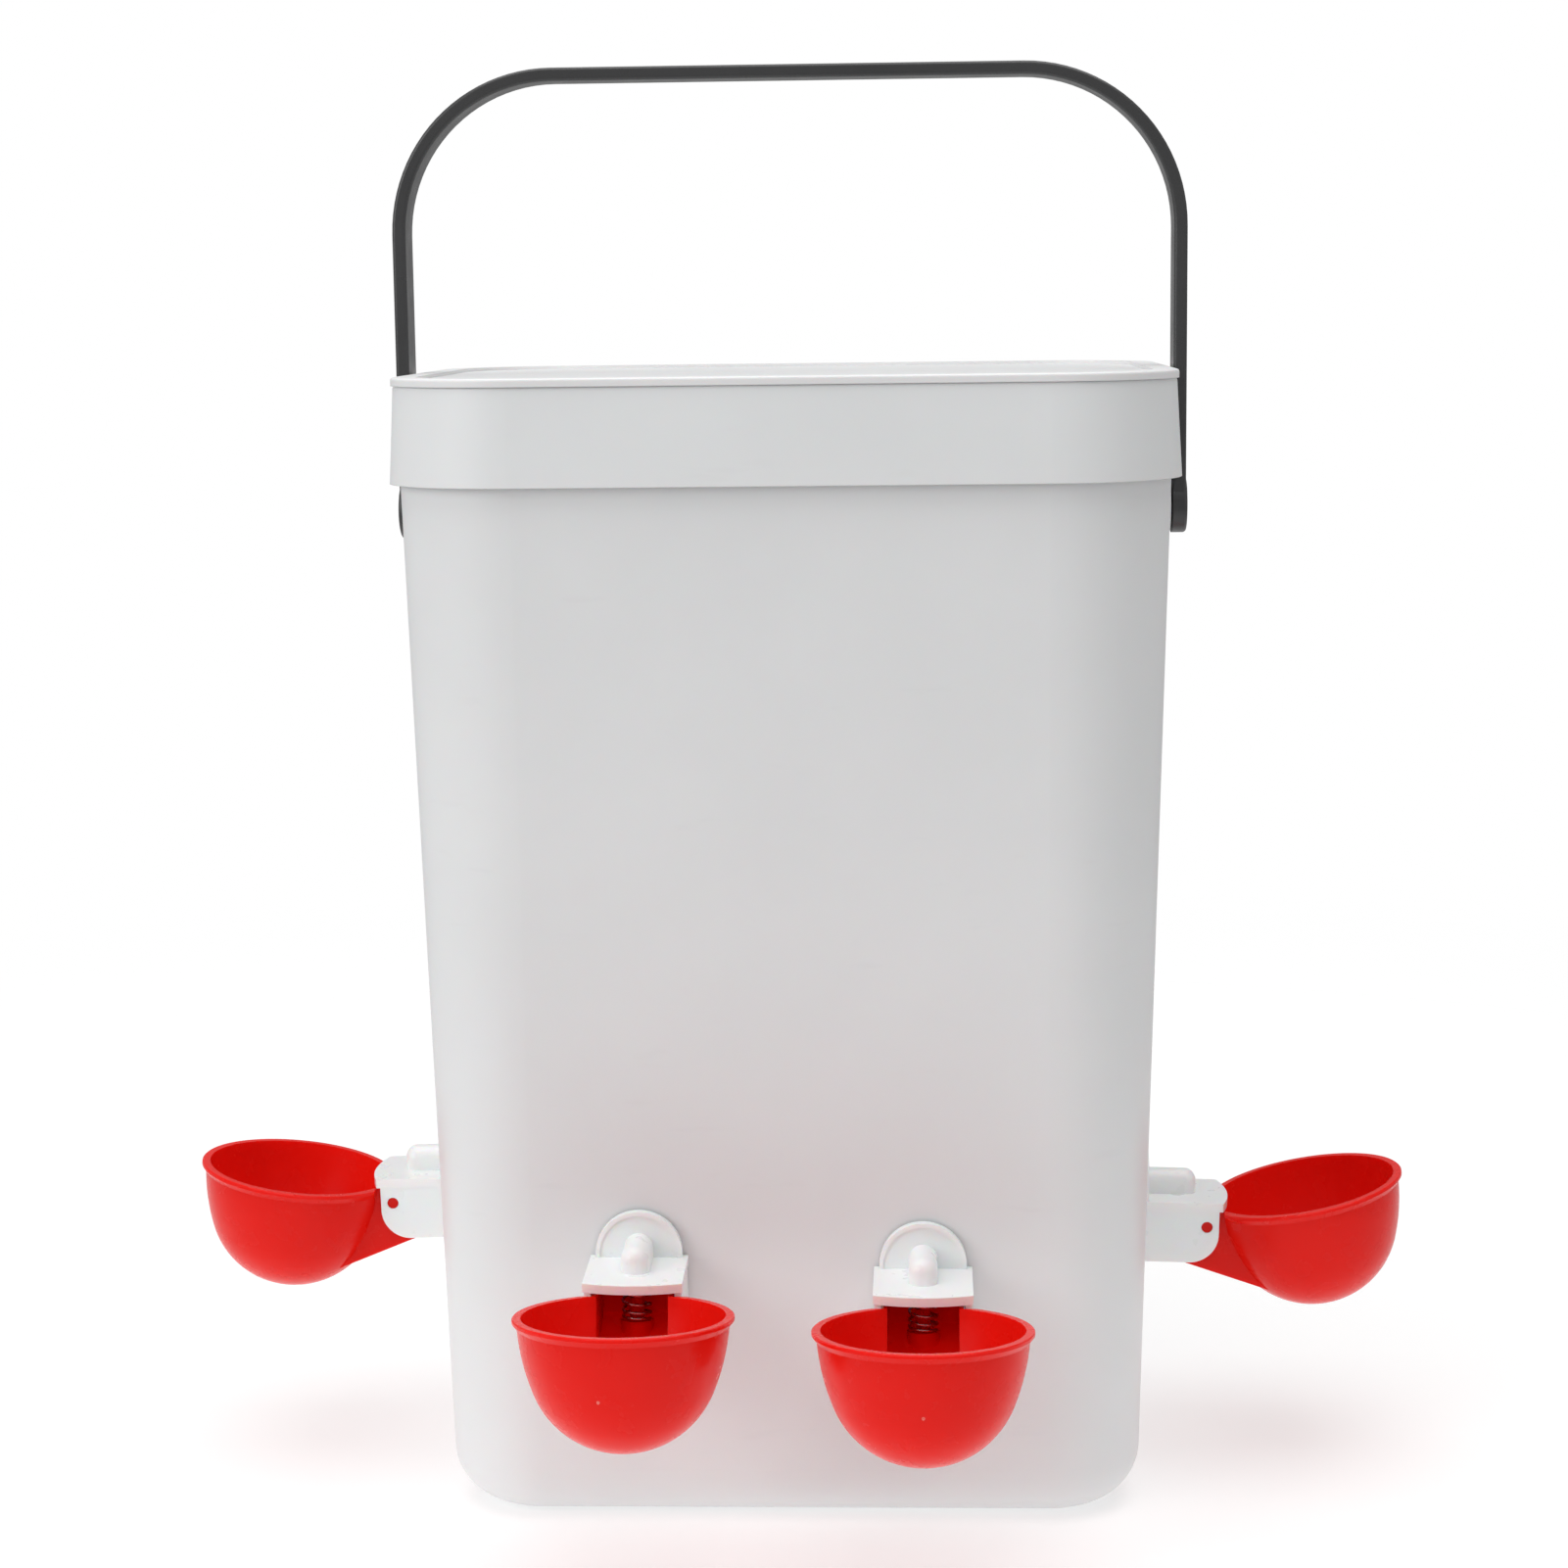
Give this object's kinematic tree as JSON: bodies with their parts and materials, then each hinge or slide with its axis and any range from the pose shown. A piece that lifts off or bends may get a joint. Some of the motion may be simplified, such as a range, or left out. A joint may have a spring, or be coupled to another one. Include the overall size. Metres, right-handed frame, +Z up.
{
  "type": "poultry waterer fount",
  "caption": "Rectangular lidded pail with a swinging bail handle and spring-tipped drinking cups on its front and side walls.",
  "frame": {"origin": "middle of the pail's flat base, where it stands", "axes": "+Z up, the front wall with two cups faces -Y, +X to the right seen from the front"},
  "size_m": [0.355, 0.2373, 0.402],
  "materials": {
    "white_pail": "satin white moulded polypropylene",
    "white_fitting": "smooth white moulded plastic",
    "dark_handle": "satin charcoal moulded plastic",
    "red_cup": "glossy red moulded polypropylene",
    "seal_rubber": "soft black rubber",
    "spring_steel": "drawn stainless wire"
  },
  "bodies": {
    "pail": {"pail_body": "white_pail", "front_left_bracket": "white_fitting", "front_left_seal": "seal_rubber", "front_left_nut": "white_fitting", "front_left_spring": "spring_steel", "front_right_bracket": "white_fitting", "front_right_seal": "seal_rubber", "front_right_nut": "white_fitting", "front_right_spring": "spring_steel", "side_left_bracket": "white_fitting", "side_left_seal": "seal_rubber", "side_left_nut": "white_fitting", "side_left_spring": "spring_steel", "side_right_bracket": "white_fitting", "side_right_seal": "seal_rubber", "side_right_nut": "white_fitting", "side_right_spring": "spring_steel"},
    "lid": {"lid": "white_pail"},
    "handle": {"handle": "dark_handle"},
    "front_left_cup": {"front_left_cup": "red_cup", "front_left_valve_pad": "seal_rubber"},
    "front_right_cup": {"front_right_cup": "red_cup", "front_right_valve_pad": "seal_rubber"},
    "side_left_cup": {"side_left_cup": "red_cup", "side_left_valve_pad": "seal_rubber"},
    "side_right_cup": {"side_right_cup": "red_cup", "side_right_valve_pad": "seal_rubber"}
  },
  "joints": [
    {"name": "lid_lift", "type": "slide", "parent": "pail", "child": "lid", "axis": [0, 0, 1], "range_m": [0, 0.045]},
    {"name": "handle_hinge", "type": "hinge", "parent": "pail", "child": "handle", "pos_m": [0, 0, 0.2776], "axis": [1, 0, 0], "range_deg": [-130, 130]},
    {"name": "front_left_tip", "type": "hinge", "parent": "pail", "child": "front_left_cup", "pos_m": [-0.041, -0.09496, 0.07064], "axis": [1, 0, 0], "range_deg": [0, 5.6], "stiffness_Nm_per_rad": 0.03, "springref_deg": -11.46, "deforming": ["front_left_spring"]},
    {"name": "front_right_tip", "type": "hinge", "parent": "pail", "child": "front_right_cup", "pos_m": [0.0366, -0.09488, 0.06744], "axis": [1, 0, 0], "range_deg": [0, 4.9], "stiffness_Nm_per_rad": 0.03, "springref_deg": -11.46, "deforming": ["front_right_spring"]},
    {"name": "side_left_tip", "type": "hinge", "parent": "pail", "child": "side_left_cup", "pos_m": [-0.11948, 0, 0.07494], "axis": [0, -1, 0], "range_deg": [0, 7.6], "stiffness_Nm_per_rad": 0.03, "springref_deg": -11.46, "deforming": ["side_left_spring"]},
    {"name": "side_right_tip", "type": "hinge", "parent": "pail", "child": "side_right_cup", "pos_m": [0.11929, 0, 0.06774], "axis": [0, 1, 0], "range_deg": [0, 11], "stiffness_Nm_per_rad": 0.03, "springref_deg": -11.46, "deforming": ["side_right_spring"]}
  ]
}
